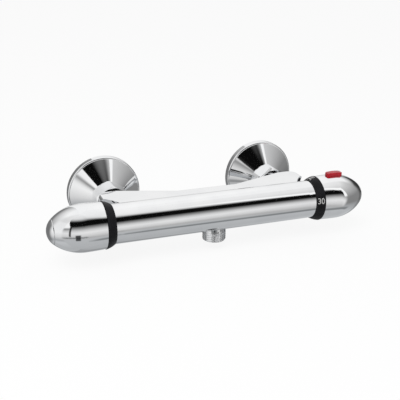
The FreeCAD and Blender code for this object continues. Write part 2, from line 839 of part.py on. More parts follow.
def build_sleeve_seals(side, label, places):
    """The O-rings between a cartridge and the body, as one group."""
    section = "(cartridge_bore - sleeve_radius + groove_depth) / 2"
    seals = [ring_seal(f"seal_{index}", "X", place, f"cartridge_bore - {section}", section)
             for index, place in enumerate(places)]
    if len(seals) == 1:
        seal = seals[0]
        put(seal, along=f"{SIGN[side]} * (body_half + {places[0]})", depth="-bar_reach",
            turn=TO_X)
        return node(seal, label)
    group = doc.addObject("Part::Compound", "seal_group")
    group.Links = seals
    doc.recompute()
    return node(on_end(group, side), label)


# ---------------------------------------------------------------- thermostat

def build_thermostat():
    start = "(-thermostat_depth)"
    ring_face = "(end_ring_width - thermostat_depth)"
    wax_tip = "(wax_inset - thermostat_depth)"
    grooves = [groove_corners(place, "sleeve_radius", "groove_depth", "groove_width")
               for place in ("inner_seal_place", "middle_seal_place", "lock_seal_place")]
    hot = [("hot_recess_start", "sleeve_radius"), ("hot_recess_start", "recess_radius"),
           ("hot_recess_end", "recess_radius"), ("hot_recess_end", "sleeve_radius")]
    cold = [("cold_recess_start", "sleeve_radius"), ("cold_recess_start", "recess_radius"),
            ("cold_recess_end", "recess_radius"), ("cold_recess_end", "sleeve_radius")]
    outside = grooves[0] + hot + grooves[1] + cold + grooves[2]
    housing = turned_body("thermostat_housing", "X", [
        (start, "chamber_radius"), (start, "sleeve_radius")] + outside + [
        (LOCK_START, "sleeve_radius"), (LOCK_START, "sleeve_neck"),
        ("sleeve_neck_end", "sleeve_neck"), ("sleeve_neck_end", "spindle_radius + fit_gap"),
        ("chamber_end", "spindle_radius + fit_gap"), ("chamber_end", "chamber_radius")])
    for first in ("shuttle_start - window_opening",
                  "shuttle_end + window_opening - window_length"):
        window = rectangle(first, "-window_width / 2", f"{first} + window_length",
                           "window_width / 2")
        cut = pocket(housing, "XY_Plane", lambda sketch, shape=window: draw(sketch, shape),
                     "sleeve_radius + 1", back=True)
        repeat_round(housing, cut, "X_Axis", 4)
    slot = rectangle("-key_slot_radius", "-key_width / 2 - fit_gap", "key_slot_radius",
                     "key_width / 2 + fit_gap")
    pocket(housing, "YZ_Plane", lambda sketch: draw(sketch, slot),
           "key_slot_end - key_slot_start", lift="key_slot_start", back=True)
    node(on_end(housing), "thermostat_housing")
    end_ring = turned_body("thermostat_end_ring", "X", rectangle(
        start, "mix_hole", ring_face, "chamber_radius"))
    node(on_end(end_ring), "thermostat_end_ring")
    build_sleeve_seals(RIGHT, "thermostat_orings",
                       ["inner_seal_place", "middle_seal_place", "lock_seal_place"])

    spindle = turned_body("regulating_spindle", "X", [
        ("drive_bore_end", 0), ("drive_bore_end", "drive_thread_radius + fit_gap"),
        ("spindle_collar_start", "drive_thread_radius + fit_gap"),
        ("spindle_collar_start", "spindle_collar"), ("spindle_collar_end", "spindle_collar"),
        ("spindle_collar_end", "spindle_radius")] + spindle_end())
    node(on_end(spindle), "regulating_spindle")
    build_spindle_seal(RIGHT, "regulating_spindle_oring")

    cup = turned_body("drive_cup", "X", [
        ("cup_start", "cup_radius - cup_wall"), ("cup_start", "cup_radius"),
        ("cup_end", "cup_radius"), ("cup_end", "drive_thread_radius"),
        ("drive_thread_end", "drive_thread_radius"), ("drive_thread_end", 0),
        ("cup_floor_start", 0), ("cup_floor_start", "cup_radius - cup_wall")])
    keys = doc.addObject("Part::Box", "drive_keys")
    bind(keys, "Length", "cup_end - key_start")
    bind(keys, "Width", "2 * (key_slot_radius - fit_gap)")
    bind(keys, "Height", "key_width")
    put(keys, "key_start", "fit_gap - key_slot_radius", "-key_width / 2")
    hollow = rod("drive_hollow", "X", "cup_radius - cup_wall", "cup_start - 1",
                 "cup_floor_start")
    drive = cut_from("drive_screw", joined("drive_outside", [cup, keys]), hollow)
    node(on_end(drive), "drive_screw")

    clip_end = "(cup_start + clip_width)"
    clip = turned_body("overtravel_clip", "X", rectangle(
        "cup_start", "clip_bore", clip_end, "cup_radius - cup_wall"))
    node(on_end(clip), "overtravel_clip")
    cap = turned_body("piston_cap", "X", [
        (clip_end, 0), (clip_end, "cup_radius - cup_wall - part_gap"),
        (f"{clip_end} + cap_flange", "cup_radius - cup_wall - part_gap"),
        (f"{clip_end} + cap_flange", "cap_pin_radius"), ("cap_pin_end", "cap_pin_radius"),
        ("cap_pin_end", 0)])
    node(on_end(cap), "piston_cap")
    spring = coil("overtravel_spring", "X", "overtravel_coil", "spring_wire",
                  "overtravel_pitch", f"{clip_end} + cap_flange", "cup_floor_start")
    node(on_end(spring), "overtravel_spring")

    web_end = "(shuttle_web_start + shuttle_web)"
    element = turned_body("wax_element", "X", [
        (wax_tip, 0), (wax_tip, "wax_radius - 0.6"), (f"{wax_tip} + 0.6", "wax_radius"),
        (web_end, "wax_radius"), (web_end, "wax_collar"),
        (f"{web_end} + shuttle_web", "wax_collar"), (f"{web_end} + shuttle_web", "wax_guide"),
        ("wax_guide_end", "wax_guide"), ("wax_guide_end", "piston_radius"),
        (clip_end, "piston_radius"), (clip_end, 0)])
    node(on_end(element), "wax_element")

    outer = "(chamber_radius - fit_gap)"
    inner = f"{outer} - shuttle_wall"
    shuttle = turned_body("shuttle", "X", [
        ("shuttle_web_start", "wax_radius"), (web_end, "wax_radius"), (web_end, inner),
        ("shuttle_end", inner), ("shuttle_end", outer), ("shuttle_start", outer),
        ("shuttle_start", inner), ("shuttle_web_start", inner)])
    hole = [("0", "shuttle_hole_ring", "shuttle_hole")]
    cut = pocket(shuttle, "YZ_Plane", lambda sketch: draw_circles(sketch, hole),
                 "shuttle_web + 1", lift="shuttle_web_start - 0.5", back=True)
    repeat_round(shuttle, cut, "X_Axis", 6)
    node(on_end(shuttle), "mixing_shuttle")
    spring = coil("return_spring", "X", "return_coil", "spring_wire", "return_pitch",
                  ring_face, "shuttle_start")
    node(on_end(spring), "return_spring")


# ---------------------------------------------------------------- flow cartridge

SEAL_START = "(-flow_depth)"
DISC_START = f"({SEAL_START} + port_seal_width)"
MOVING_START = f"({DISC_START} + fixed_disc_width)"
DRIVER_START = f"({MOVING_START} + moving_disc_width)"
DISC_CHAMBER_END = f"({DRIVER_START} + driver_width + part_gap)"


def two_ports(sketch):
    return draw_circles(sketch, [
        ("0", "port_height", "port_radius"), ("0", "-port_height", "port_radius")])


def build_flow_cartridge():
    groove = groove_corners("lock_seal_place", "sleeve_radius", "groove_depth", "groove_width")
    housing = turned_body("flow_housing", "X", [
        (SEAL_START, "disc_chamber"), (SEAL_START, "sleeve_radius")] + groove + [
        (LOCK_START, "sleeve_radius"), (LOCK_START, "sleeve_neck"),
        ("sleeve_neck_end", "sleeve_neck"), ("sleeve_neck_end", "spindle_radius + fit_gap"),
        (DISC_CHAMBER_END, "spindle_radius + fit_gap"), (DISC_CHAMBER_END, "disc_chamber")])
    node(on_end(housing, LEFT), "flow_housing")
    build_sleeve_seals(LEFT, "flow_oring", ["lock_seal_place"])
    seal = turned_body("port_seal", "X", rectangle(
        SEAL_START, 0, DISC_START, "disc_chamber"))
    pocket(seal, "YZ_Plane", two_ports, "flow_depth", lift=f"{SEAL_START} - 1", back=True)
    node(on_end(seal, LEFT), "port_seal")
    disc = turned_body("fixed_disc", "X", rectangle(
        DISC_START, 0, MOVING_START, "disc_chamber"))
    pocket(disc, "YZ_Plane", two_ports, "flow_depth", lift=f"{DISC_START} - 1", back=True)
    node(on_end(disc, LEFT), "fixed_ceramic_disc")
    moving = turned_body("moving_disc", "X", rectangle(
        MOVING_START, 0, DRIVER_START, "moving_disc_radius"))
    reach = "(port_height + port_radius)"
    slot = rectangle(f"-{reach}", "-disc_slot_half", reach, "disc_slot_half")
    pocket(moving, "YZ_Plane", lambda sketch: draw(sketch, slot), "disc_slot_depth",
           lift=MOVING_START, back=True)
    tongue = rectangle("-tongue_width / 2", "-tongue_length / 2",
                       "tongue_width / 2", "tongue_length / 2")
    pocket(moving, "YZ_Plane", lambda sketch: draw(sketch, tongue), "tongue_depth",
           lift=DRIVER_START)
    node(on_end(moving, LEFT), "moving_ceramic_disc")
    shaft = turned_body("flow_shaft", "X", [
        (DRIVER_START, 0), (DRIVER_START, "driver_radius"),
        (f"{DRIVER_START} + driver_width", "driver_radius"),
        (f"{DRIVER_START} + driver_width", "spindle_radius")] + spindle_end())
    bit = doc.addObject("Part::Box", "driver_tongue")
    bind(bit, "Length", "tongue_depth + 1")
    bind(bit, "Width", "tongue_width")
    bind(bit, "Height", "tongue_length")
    put(bit, f"{DRIVER_START} - tongue_depth", "-tongue_width / 2", "-tongue_length / 2")
    node(on_end(joined("flow_spindle", [shaft, bit]), LEFT), "flow_spindle")
    build_spindle_seal(LEFT, "flow_spindle_oring")


# ---------------------------------------------------------------- handles

MOUTH = "(ring_width + part_gap)"
WIDEST = f"({MOUTH} + barrel_length)"
SEAM = f"({MOUTH} + handle_seam)"
CAP_BACK = f"({SEAM} + fit_gap)"
CAP_BORE = "(end_cap_radius - shell_lip)"


def button_window(name):
    """The opening for the safety button, as a solid that the shell and insert lose."""
    half = "(button_length / 2 + part_gap)"
    side = "(button_width / 2 + part_gap)"
    outline = rectangle(f"button_place - {half}", f"-{side}", f"button_place + {half}", side)
    block = padded(name, "XY_Plane", lambda sketch: draw(sketch, outline), "button_top",
                   lift="hub_radius + 1")
    fillet(block, block.Tip, "button_corner", upright)
    return block


def upright(edge):
    box = edge.BoundBox
    return box.XLength < 1e-6 and box.YLength < 1e-6


def build_handle(side, prefix, lug_first, with_button):
    shell = turned_body("handle_shell", "X", [
        (MOUTH, "insert_radius"), (MOUTH, "handle_mouth_radius", "barrel_curve", -1),
        (WIDEST, "handle_radius", "dome_curve", -1), (SEAM, "end_cap_radius"),
        (SEAM, CAP_BORE, "dome_curve - shell_wall", 1), ("insert_end", "insert_radius")])
    insert = turned_body("handle_insert", "X", [
        ("web_start", "spline_radius"), ("spline_end", "spline_radius"),
        ("spline_end", "screw_radius"), ("hub_end", "screw_radius"), ("hub_end", "hub_radius"),
        ("web_start + web_width", "hub_radius"),
        ("web_start + web_width", "insert_radius - insert_wall"),
        ("insert_end", "insert_radius - insert_wall"), ("insert_end", "insert_radius"),
        (f"{MOUTH} + part_gap", "insert_radius"),
        (f"{MOUTH} + part_gap", "insert_radius - insert_wall"),
        ("web_start", "insert_radius - insert_wall")])
    lug = lug_sector("insert_lug", f"{MOUTH} + part_gap", "web_start + 1",
                     "stop_lug_root", "insert_radius - insert_wall + 0.5", lug_first,
                     "insert_lug_angle")
    insert = joined("insert_with_lug", [insert, lug])
    if with_button:
        shell = cut_from("shell_with_window", shell, button_window("shell_window"))
        insert = cut_from("insert_with_window", insert, button_window("insert_window"))
    node(on_end(shell, side), f"{prefix}_handle_shell")
    node(on_end(insert, side), f"{prefix}_handle_insert")

    cap = turned_body("end_cap", "X", [
        (f"{CAP_BACK} + end_cap_dome", 0),
        (f"{CAP_BACK} + end_cap_wall", 0), (f"{CAP_BACK} + end_cap_wall", f"{CAP_BORE} - 1.8"),
        (f"{CAP_BACK} - end_cap_skirt", f"{CAP_BORE} - 1.8"),
        (f"{CAP_BACK} - end_cap_skirt", f"{CAP_BORE} - fit_gap"),
        (CAP_BACK, f"{CAP_BORE} - fit_gap"),
        (CAP_BACK, "end_cap_radius - end_cap_ledge"),
        (f"{CAP_BACK} + end_cap_step", "end_cap_radius - end_cap_ledge", "end_cap_curve", -1)])
    node(on_end(cap, side), f"{prefix}_handle_cap")

    head = "(hub_end + screw_head_width)"
    screw = turned_body("handle_screw", "X", [
        ("screw_tip", 0), ("screw_tip", "screw_radius"), ("hub_end", "screw_radius"),
        ("hub_end", "screw_head"), (head, "screw_head"), (head, "screw_socket"),
        (f"{head} - screw_socket", "screw_socket"), (f"{head} - screw_socket", 0)])
    node(on_end(screw, side), f"{prefix}_handle_screw")


def build_button():
    low = "button_lip_top"
    near = "button_place - button_length / 2"
    far = "button_place + button_length / 2"
    shoulder = "button_top - 0.6"
    outline = [(near, low), (far, low), (far, shoulder, "button_crown", 1), (near, shoulder)]
    block = padded("button_block", "XZ_Plane", lambda sketch: draw(sketch, outline),
                   "button_width", middle=True)
    rounding = fillet(block, block.Tip, "button_corner", upright)
    crest = value("button_top") - 1

    def top_edge(edge):
        return edge.BoundBox.ZMin > crest
    fillet(block, rounding, "button_edge", top_edge)
    lip = doc.addObject("Part::Box", "button_lip_plate")
    bind(lip, "Length", "button_length + 2 * button_lip")
    bind(lip, "Width", "button_width + 2 * button_lip")
    bind(lip, "Height", "button_lip_width")
    put(lip, f"{near} - button_lip", "-button_width / 2 - button_lip",
        "button_lip_top - button_lip_width")
    stem = rod("button_stem_rod", "Z", "button_stem",
               "button_lip_top - button_lip_width - button_stem_length", "button_lip_top",
               along="button_place")
    node(on_end(joined("button", [block, lip, stem])), "safety_button")
    spring = coil("button_coil_spring", "Z", "button_coil", "button_wire", "button_pitch",
                  "hub_radius", "button_lip_top - button_lip_width")
    node(put(spring, along="body_half + button_place", depth="-bar_reach"), "button_spring")


# ---------------------------------------------------------------- assembly

def build_stops():
    """The lug of each insert sits at the bottom at rest; the stop lug fills the rest of
    the circle that the insert's lug may not reach."""
    half_lug = "insert_lug_angle / 2"
    build_stop_ring(
        RIGHT, "temperature_stop_ring",
        f"180 + cold_turn + {half_lug} + stop_margin",
        "360 - cold_turn - hot_turn - insert_lug_angle - 2 * stop_margin")
    build_stop_ring(
        LEFT, "flow_stop_ring",
        f"180 + {half_lug} + stop_margin",
        "360 - flow_turn - insert_lug_angle - 2 * stop_margin")


def build_all():
    build_body()
    build_outlet()
    for side in (LEFT, RIGHT):
        build_supply(side)
        build_flange(side)
        build_union_nut(side)
        build_nipple(side)
        build_strainer(side)
        build_check_valve(side)
    build_end_ring(RIGHT, "temperature_ring")
    build_end_ring(LEFT, "flow_ring")
    build_lock_nut(RIGHT, "thermostat_lock_nut")
    build_lock_nut(LEFT, "flow_lock_nut")
    build_thermostat()
    build_flow_cartridge()
    build_stops()
    build_handle(RIGHT, "temperature", "180 - insert_lug_angle / 2", with_button=True)
    build_handle(LEFT, "flow", "180 - insert_lug_angle / 2", with_button=False)
    build_button()


def check_and_write():
    doc.recompute()
    for item in doc.Objects:
        if "Invalid" in item.State or "Error" in item.State:
            raise ValueError(f"{item.Label} failed: {item.State}")
    for item in NODES:
        if item.Shape.isNull() or not item.Shape.isValid():
            raise ValueError(f"{item.Label} has no valid shape")
    os.makedirs("parts", exist_ok=True)
    for item in NODES:
        item.Shape.exportStep(f"parts/{item.Label}.step")
        box = item.Shape.BoundBox
        print(f"{item.Label}: {len(item.Shape.Solids)} solid, {item.Shape.Volume:.1f} mm3, "
              f"x {box.XMin:.1f} {box.XMax:.1f}, y {box.YMin:.1f} {box.YMax:.1f}, "
              f"z {box.ZMin:.1f} {box.ZMax:.1f}")


build_all()
check_and_write()
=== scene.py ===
import math

import bmesh
import bpy
from mathutils import Matrix, Vector


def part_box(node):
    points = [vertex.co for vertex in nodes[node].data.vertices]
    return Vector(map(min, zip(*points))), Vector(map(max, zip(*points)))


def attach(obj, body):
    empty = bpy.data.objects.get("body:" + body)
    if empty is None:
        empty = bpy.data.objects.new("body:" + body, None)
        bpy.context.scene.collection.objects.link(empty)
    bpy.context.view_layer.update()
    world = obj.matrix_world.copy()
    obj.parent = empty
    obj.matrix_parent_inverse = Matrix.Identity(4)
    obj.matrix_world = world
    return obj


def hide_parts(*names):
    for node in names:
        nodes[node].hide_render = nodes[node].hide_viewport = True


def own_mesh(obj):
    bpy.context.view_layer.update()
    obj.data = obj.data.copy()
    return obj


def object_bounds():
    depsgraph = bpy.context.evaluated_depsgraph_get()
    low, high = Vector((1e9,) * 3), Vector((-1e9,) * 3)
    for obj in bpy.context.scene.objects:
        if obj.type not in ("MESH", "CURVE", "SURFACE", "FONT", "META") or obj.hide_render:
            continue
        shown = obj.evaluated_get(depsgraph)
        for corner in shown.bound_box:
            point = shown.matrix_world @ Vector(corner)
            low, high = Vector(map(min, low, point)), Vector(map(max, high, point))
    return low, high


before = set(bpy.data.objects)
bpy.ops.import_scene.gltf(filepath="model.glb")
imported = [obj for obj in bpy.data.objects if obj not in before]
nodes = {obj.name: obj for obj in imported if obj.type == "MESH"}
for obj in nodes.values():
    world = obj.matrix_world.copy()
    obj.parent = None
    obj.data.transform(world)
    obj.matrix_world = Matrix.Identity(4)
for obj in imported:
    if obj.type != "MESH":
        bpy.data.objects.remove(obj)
cad_low, cad_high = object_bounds()

MM = 0.001


def corners(node):
    """Lowest and highest corner of a CAD node, rounded to the micrometre."""
    low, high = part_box(node)
    return [round(v, 6) for v in low], [round(v, 6) for v in high]


def middle(node, axis):
    """Middle of a CAD node along axis 0, 1 or 2."""
    low, high = corners(node)
    return round((low[axis] + high[axis]) / 2, 6)


# ---------------------------------------------------------------- node helpers

class Tree:
    """Small helper that adds nodes to an emptied node tree and links them."""

    def __init__(self, tree):
        self.tree = tree
        tree.nodes.clear()

    def add(self, kind, inputs=(), **values):
        made = self.tree.nodes.new(kind)
        for name, value in values.items():
            setattr(made, name, value)
        for key, value in dict(inputs).items():
            self.set(made.inputs[key], value)
        return made

    def set(self, socket, value):
        if isinstance(value, bpy.types.NodeSocket):
            self.tree.links.new(value, socket)
        else:
            socket.default_value = value

    def math(self, operation, first, second=0.0):
        made = self.add("ShaderNodeMath", {0: first, 1: second}, operation=operation)
        return made.outputs[0]

    def product(self, first, *others):
        for other in others:
            first = self.math("MULTIPLY", first, other)
        return first

    def step(self, value, low, high, out_low=0.0, out_high=1.0):
        """Smooth change from out_low to out_high while value goes from low to high."""
        made = self.add("ShaderNodeMapRange", {
            "Value": value, "From Min": low, "From Max": high,
            "To Min": out_low, "To Max": out_high}, interpolation_type="SMOOTHSTEP")
        return made.outputs["Result"]

    def noise(self, spot, scale, detail, roughness):
        made = self.add("ShaderNodeTexNoise", {
            "Vector": spot, "Scale": scale, "Detail": detail, "Roughness": roughness})
        return made.outputs["Fac"]

    def ramp(self, value, stops):
        made = self.add("ShaderNodeValToRGB", {"Fac": value})
        band = made.color_ramp
        while len(band.elements) < len(stops):
            band.elements.new(0.5)
        for element, (place, colour) in zip(band.elements, stops):
            element.position = place
            element.color = (*colour, 1.0)
        return made.outputs["Color"]

    def mix(self, factor, first, second):
        """Mix of two colours, which are tuples or the colour outputs of nodes."""
        made = self.add("ShaderNodeMix", data_type="RGBA")
        self.set(made.inputs[0], factor)
        for place, value in ((6, first), (7, second)):
            if isinstance(value, tuple):
                value = (*value, 1.0)
            self.set(made.inputs[place], value)
        return made.outputs[2]


def linear(shade):
    """Light level of a display value from 0 to 255."""
    share = shade / 255
    return share / 12.92 if share <= 0.04045 else ((share + 0.055) / 1.055) ** 2.4


# ---------------------------------------------------------------- materials

NOISE_MIDDLE = (0.3, 0.7)        # the stretch of a noise that drives a change
BROAD_NOISE = (3.0, 0.55)        # detail and roughness
FINE_NOISE = (4.0, 0.6)
RELIEF_NOISE = (3.0, 0.5)
WAVE_LENGTH = 0.314              # metres from band to band of a wave texture of scale 1
TURNING_GRAIN = 0.0015
TURNING_PATCH = 60.0
TURNING_WOBBLE = 0.4
TURNING_RELIEF = (0.25, 0.00003)                # strength and distance


def surface(name, colours, metal, roughness, grain, patch, fixed):
    """Principled material whose colour drifts between two tones and whose gloss has a grain.

    colours: two tones. roughness: its low and high value. grain: grain size in metres.
    patch: scale of the drift. fixed: sockets that are the same all over.
    """
    made = bpy.data.materials.new(name)
    made.use_nodes = True
    tree = Tree(made.node_tree)
    spot = tree.add("ShaderNodeTexCoord").outputs["Object"]
    broad = tree.noise(spot, patch, *BROAD_NOISE)
    fine = tree.noise(spot, 1.0 / grain, *FINE_NOISE)
    tone = tree.mix(tree.step(broad, *NOISE_MIDDLE), *colours)
    gloss = tree.step(fine, *NOISE_MIDDLE, *roughness)
    body = tree.add("ShaderNodeBsdfPrincipled", {
        "Base Color": tone, "Metallic": metal, "Roughness": gloss, **fixed})
    out = tree.add("ShaderNodeOutputMaterial")
    tree.set(out.inputs["Surface"], body.outputs["BSDF"])
    return made, tree, spot, body


def add_relief(tree, body, height, strength, distance):
    rise = tree.add("ShaderNodeBump", {
        "Strength": strength, "Distance": distance, "Height": height})
    tree.set(body.inputs["Normal"], rise.outputs["Normal"])


def shader(name, colours, metal, roughness, grain, bump, patch, **fixed):
    """Surface with a fine uneven relief. bump: its (size, strength, distance)."""
    made, tree, spot, body = surface(name, colours, metal, roughness, grain, patch, fixed)
    size, strength, distance = bump
    height = tree.noise(spot, 1.0 / size, *RELIEF_NOISE)
    add_relief(tree, body, height, strength, distance)
    return made


def turned_metal(name, colours, roughness, pitch, along):
    """Machined metal with fine turning marks round the axis that runs along X, Y or Z."""
    made, tree, spot, body = surface(
        name, colours, 1.0, roughness, TURNING_GRAIN, TURNING_PATCH, {})
    wave = tree.add("ShaderNodeTexWave", {
        "Vector": spot, "Scale": WAVE_LENGTH / pitch, "Distortion": TURNING_WOBBLE},
        bands_direction=along)
    add_relief(tree, body, wave.outputs["Fac"], *TURNING_RELIEF)
    return made


materials = {
    "chromed_brass": shader(
        "chrome plate", ((0.90, 0.905, 0.915), (0.945, 0.948, 0.952)), 1.0, (0.03, 0.06),
        0.004, bump=(0.009, 0.05, 0.00004), patch=45.0),
    "plain_brass": turned_metal(
        "turned brass", ((0.66, 0.50, 0.24), (0.76, 0.60, 0.32)), (0.22, 0.36), 0.0003, "X"),
    "black_plastic": shader(
        "black moulded plastic", ((0.006, 0.006, 0.007), (0.011, 0.011, 0.013)), 0.0,
        (0.38, 0.52), 0.0008, bump=(0.0006, 0.25, 0.00004), patch=120.0,
        **{"Specular IOR Level": 0.14}),
    "red_plastic": shader(
        "red gloss plastic", ((0.36, 0.004, 0.012), (0.46, 0.007, 0.018)), 0.0,
        (0.14, 0.22), 0.003, bump=(0.004, 0.06, 0.00005), patch=200.0,
        **{"Specular IOR Level": 0.35}),
    "inner_plastic": shader(
        "grey moulded plastic", ((0.30, 0.31, 0.33), (0.38, 0.39, 0.41)), 0.0,
        (0.36, 0.52), 0.001, bump=(0.0007, 0.3, 0.00005), patch=150.0),
    "white_plastic": shader(
        "white print", ((0.44, 0.44, 0.44), (0.52, 0.52, 0.51)), 0.0,
        (0.34, 0.48), 0.0008, bump=(0.0006, 0.25, 0.00003), patch=200.0),
    "spring_steel": shader(
        "drawn steel wire", ((0.50, 0.51, 0.53), (0.66, 0.67, 0.69)), 1.0, (0.2, 0.34),
        0.0006, bump=(0.0005, 0.3, 0.00003), patch=400.0),
    "strainer_steel": shader(
        "perforated steel", ((0.56, 0.57, 0.59), (0.68, 0.69, 0.71)), 1.0, (0.24, 0.4),
        0.0008, bump=(0.0006, 0.25, 0.00003), patch=300.0),
    "seal_rubber": shader(
        "seal rubber", ((0.016, 0.016, 0.016), (0.03, 0.03, 0.03)), 0.0, (0.55, 0.75),
        0.0006, bump=(0.0005, 0.4, 0.00005), patch=300.0),
    "disc_ceramic": shader(
        "lapped ceramic", ((0.84, 0.83, 0.79), (0.92, 0.91, 0.87)), 0.0, (0.08, 0.16),
        0.0008, bump=(0.0006, 0.1, 0.00002), patch=300.0),
    "wax_copper": shader(
        "copper sheet", ((0.70, 0.40, 0.27), (0.80, 0.50, 0.36)), 1.0, (0.24, 0.4),
        0.001, bump=(0.001, 0.25, 0.00003), patch=250.0),
}

slot_of = {}
for name, part in nodes.items():
    for place in part.material_slots:
        slot = place.material.name.split(".")[0]
        slot_of[name] = slot
        place.material = materials[slot]


# ---------------------------------------------------------------- mesh helpers

SHARP_ANGLE = 38                 # degrees between faces, past which an edge stays sharp


def piece(name, mesh, slot, body="valve"):
    made = bpy.data.objects.new(name, mesh)
    bpy.context.scene.collection.objects.link(made)
    mesh.materials.clear()
    mesh.materials.append(materials[slot])
    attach(made, body)
    return made


def skin(name, rows):
    """Closed mesh from rings of points: each row joins the next, and the last joins the first."""
    points = [point for row in rows for point in row]
    count = len(rows[0])
    faces = []
    for i in range(len(rows)):
        j = (i + 1) % len(rows)
        for k in range(count):
            m = (k + 1) % count
            faces.append((i * count + k, i * count + m, j * count + m, j * count + k))
    mesh = bpy.data.meshes.new(name)
    mesh.from_pydata(points, [], faces)
    work = bmesh.new()
    work.from_mesh(mesh)
    bmesh.ops.recalc_face_normals(work, faces=work.faces)
    work.to_mesh(mesh)
    work.free()
    mesh.polygons.foreach_set("use_smooth", [True] * len(mesh.polygons))
    mesh.set_sharp_from_angle(angle=math.radians(SHARP_ANGLE))
    return mesh


# ---------------------------------------------------------------- hose outlet

AXIS_Y = middle("temperature_ring", 1)          # the axis of the bar, which runs along X
OUTLET_LOW, OUTLET_HIGH = corners("outlet_nipple")
OUTLET_TOP = OUTLET_HIGH[2]
OUTLET_END = OUTLET_LOW[2]
CREST = 10.4775 * MM             # radius over the crests of a G1/2 thread
PITCH = 1.814 * MM
DEPTH = 1.162 * MM
OUTLET_BORE = 7.2 * MM
OUTLET_NECK = 9.4 * MM
BORE_BEVEL = 0.4 * MM
COLLAR_START = -17.5 * MM        # the plain collar between the neck and the thread
THREAD_START = -18.2 * MM
THREAD_BEVEL = 0.9 * MM
THREAD_RUN_IN = 0.6 * MM         # the length over which the thread grows from its root
FLANK_SHARE = 0.96               # at 1 the flanks are straight, and lower is rounder
STEPS_PER_PITCH = 14
ROUND_STEPS = 120


def outlet_point(z, step, radius):
    angle = 2 * math.pi * step / ROUND_STEPS
    return (radius * math.cos(angle), AXIS_Y + radius * math.sin(angle), z)


def plain_row(z, radius):
    return [outlet_point(z, k, radius) for k in range(ROUND_STEPS)]


def thread_radius(z, step):
    """Radius of the thread, with rounded crests and roots, a run in and a bevelled end."""
    phase = 2 * math.pi * z / PITCH - 2 * math.pi * step / ROUND_STEPS
    wave = math.asin(FLANK_SHARE * math.sin(phase)) / math.asin(FLANK_SHARE)
    radius = CREST - DEPTH / 2 + wave * DEPTH / 2
    radius = min(radius, CREST - THREAD_BEVEL + abs(OUTLET_END - z))
    begun = min(abs(z - THREAD_START) / THREAD_RUN_IN, 1)
    return begun * radius + (1 - begun) * (CREST - DEPTH)


def threaded_rows():
    length = OUTLET_END - THREAD_START
    steps = int(abs(length) / (PITCH / STEPS_PER_PITCH))
    rows = []
    for i in range(steps + 1):
        z = THREAD_START + length * i / steps
        rows.append([outlet_point(z, k, thread_radius(z, k)) for k in range(ROUND_STEPS)])
    return rows


def build_outlet():
    rows = [
        plain_row(OUTLET_TOP, OUTLET_BORE), plain_row(OUTLET_TOP, OUTLET_NECK),
        plain_row(COLLAR_START, OUTLET_NECK), plain_row(COLLAR_START, CREST),
        plain_row(THREAD_START, CREST), *threaded_rows(),
        plain_row(OUTLET_END, OUTLET_BORE + BORE_BEVEL),
        plain_row(OUTLET_END + BORE_BEVEL, OUTLET_BORE)]
    outlet = piece("outlet_thread", skin("outlet_thread", rows), "chromed_brass")
    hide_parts("outlet_nipple")


build_outlet()


# ---------------------------------------------------------------- numbers on the ring

RING_CENTRE = (103.749 * MM, 2.811 * MM)        # of the ring's arc: X, and out from the axis
RING_CURVE = 18 * MM
NUMBER_X = middle("temperature_ring", 0)
NUMBER_SIZE = 5.4 * MM
NUMBER_CUTS = 12                 # strips across a number, which let it follow the ring
NUMBER_RISE = 0.09 * MM          # how far a number stands out of the ring
NUMBER_ROOT = -0.2 * MM          # where its back is, inside the ring
MERGE_DISTANCE = 1e-5
NUMBER_PLACES = (("20", 180), ("30", 78), ("38", -8), ("50", -120))     # degrees from the top


def ring_radius(x):
    reach = RING_CURVE ** 2 - (x - RING_CENTRE[0]) ** 2
    return RING_CENTRE[1] + math.sqrt(max(reach, 0))


def flat_number(name, text):
    """Mesh of a thick flat text in the XY plane."""
    curve = bpy.data.curves.new(name, "FONT")
    curve.body = text
    curve.align_x = "CENTER"
    curve.align_y = "CENTER"
    curve.resolution_u = 6
    curve.extrude = 0.5
    flat = bpy.data.objects.new(f"{name}_flat", curve)
    bpy.context.scene.collection.objects.link(flat)
    bpy.context.view_layer.update()
    mesh = bpy.data.meshes.new_from_object(flat)
    bpy.data.objects.remove(flat)
    return mesh


def number_on_ring(text, degrees):
    """Raised number, bent round the ring, with its middle at this angle from the top."""
    name = f"number_{text}"
    mesh = flat_number(name, text)
    low = [min(v.co[i] for v in mesh.vertices) for i in range(2)]
    high = [max(v.co[i] for v in mesh.vertices) for i in range(2)]
    work = bmesh.new()
    work.from_mesh(mesh)
    bmesh.ops.remove_doubles(work, verts=work.verts, dist=MERGE_DISTANCE)
    for vert in work.verts:
        for i in range(2):
            vert.co[i] = ((vert.co[i] - low[i]) / (high[i] - low[i]) - 0.5) * NUMBER_SIZE
    for direction in (Vector((1, 0, 0)), Vector((0, 1, 0))):
        for cut in range(1 - NUMBER_CUTS // 2, NUMBER_CUTS // 2):
            whole = work.verts[:] + work.edges[:] + work.faces[:]
            place = direction * (cut * NUMBER_SIZE / NUMBER_CUTS)
            bmesh.ops.bisect_plane(work, geom=whole, plane_co=place, plane_no=direction)
    for vert in work.verts:
        x = NUMBER_X + vert.co.x
        radius = ring_radius(x) + (NUMBER_RISE if vert.co.z > 0 else NUMBER_ROOT)
        turn = math.radians(degrees) - vert.co.y / ring_radius(x)
        vert.co = Vector((x, AXIS_Y - radius * math.sin(turn), radius * math.cos(turn)))
    bmesh.ops.recalc_face_normals(work, faces=work.faces)
    work.to_mesh(mesh)
    work.free()
    mesh.name = name
    piece(name, mesh, "white_plastic")


for text, degrees in NUMBER_PLACES:
    number_on_ring(text, degrees)


# ---------------------------------------------------------------- springs

INLET_X = middle("check_valve_spring_right", 0)
CHECK_SPRING_START = corners("check_valve_spring_right")[0][1]
BUTTON_X = middle("safety_button", 0)
BUTTON_SPRING_START = corners("button_spring")[0][2]
RETURN_SPRING_START = corners("return_spring")[0][0]

